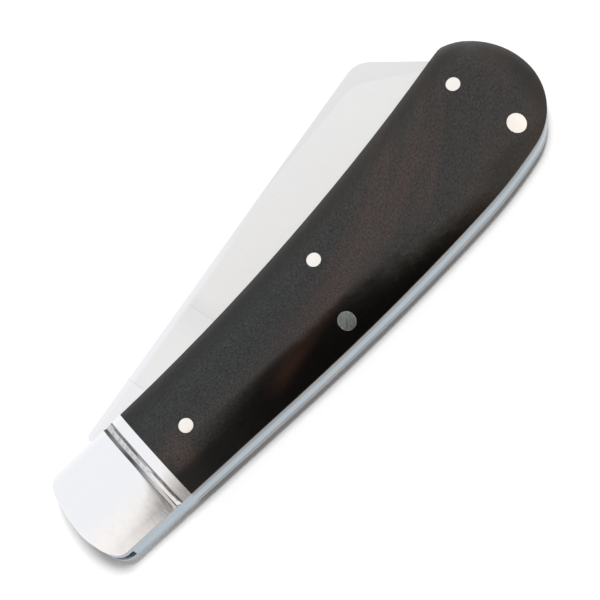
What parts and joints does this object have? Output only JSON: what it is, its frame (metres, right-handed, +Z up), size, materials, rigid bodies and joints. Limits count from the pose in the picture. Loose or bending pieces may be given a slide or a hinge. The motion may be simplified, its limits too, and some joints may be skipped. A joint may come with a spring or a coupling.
{
  "type": "folding pocket knife",
  "caption": "Closed slipjoint pocket knife: wide straight-backed blade in a swayback handle of dark wood covers, fluted metal bolsters, liners, pins and a backspring.",
  "frame": {"origin": "on the plane that the closed knife lies on, under the middle of its bounding box", "axes": "+X along the handle from the bolsters to the butt, +Y towards the side where the closed blade stands out, +Z up through the thickness, from the rear cover to the front cover"},
  "size_m": [0.1018, 0.035, 0.0124],
  "materials": {
    "dark_wood": "dense blackish-brown hardwood with soft reddish streaks, satin polish",
    "nickel_silver": "polished nickel silver",
    "blade_steel": "fine satin ground across the blade",
    "liner_steel": "fine satin along the edge",
    "spring_steel": "fine satin along the back",
    "pin_steel": "ground flush and polished with the cover"
  },
  "bodies": {
    "handle": {"backspring": "spring_steel", "pivot_pin": "nickel_silver", "spring_center_pin": "pin_steel", "spring_end_pin": "nickel_silver", "front_scale": "dark_wood", "front_bolster": "nickel_silver", "front_liner": "liner_steel", "front_cover_pin_bolster": "nickel_silver", "front_cover_pin_middle": "nickel_silver", "front_cover_pin_butt": "nickel_silver", "front_bolster_rivet_upper": "nickel_silver", "front_bolster_rivet_lower": "nickel_silver", "rear_scale": "dark_wood", "rear_bolster": "nickel_silver", "rear_liner": "liner_steel", "rear_cover_pin_bolster": "nickel_silver", "rear_cover_pin_middle": "nickel_silver", "rear_cover_pin_butt": "nickel_silver", "rear_bolster_rivet_upper": "nickel_silver", "rear_bolster_rivet_lower": "nickel_silver"},
    "blade": {"blade": "blade_steel"}
  },
  "joints": [
    {"name": "blade_pivot", "type": "hinge", "parent": "handle", "child": "blade", "pos_m": [-0.04276, -0.00812, 0.0062], "axis": [0, 0, 1], "range_deg": [0, 167.36], "deforming": ["backspring"]}
  ]
}
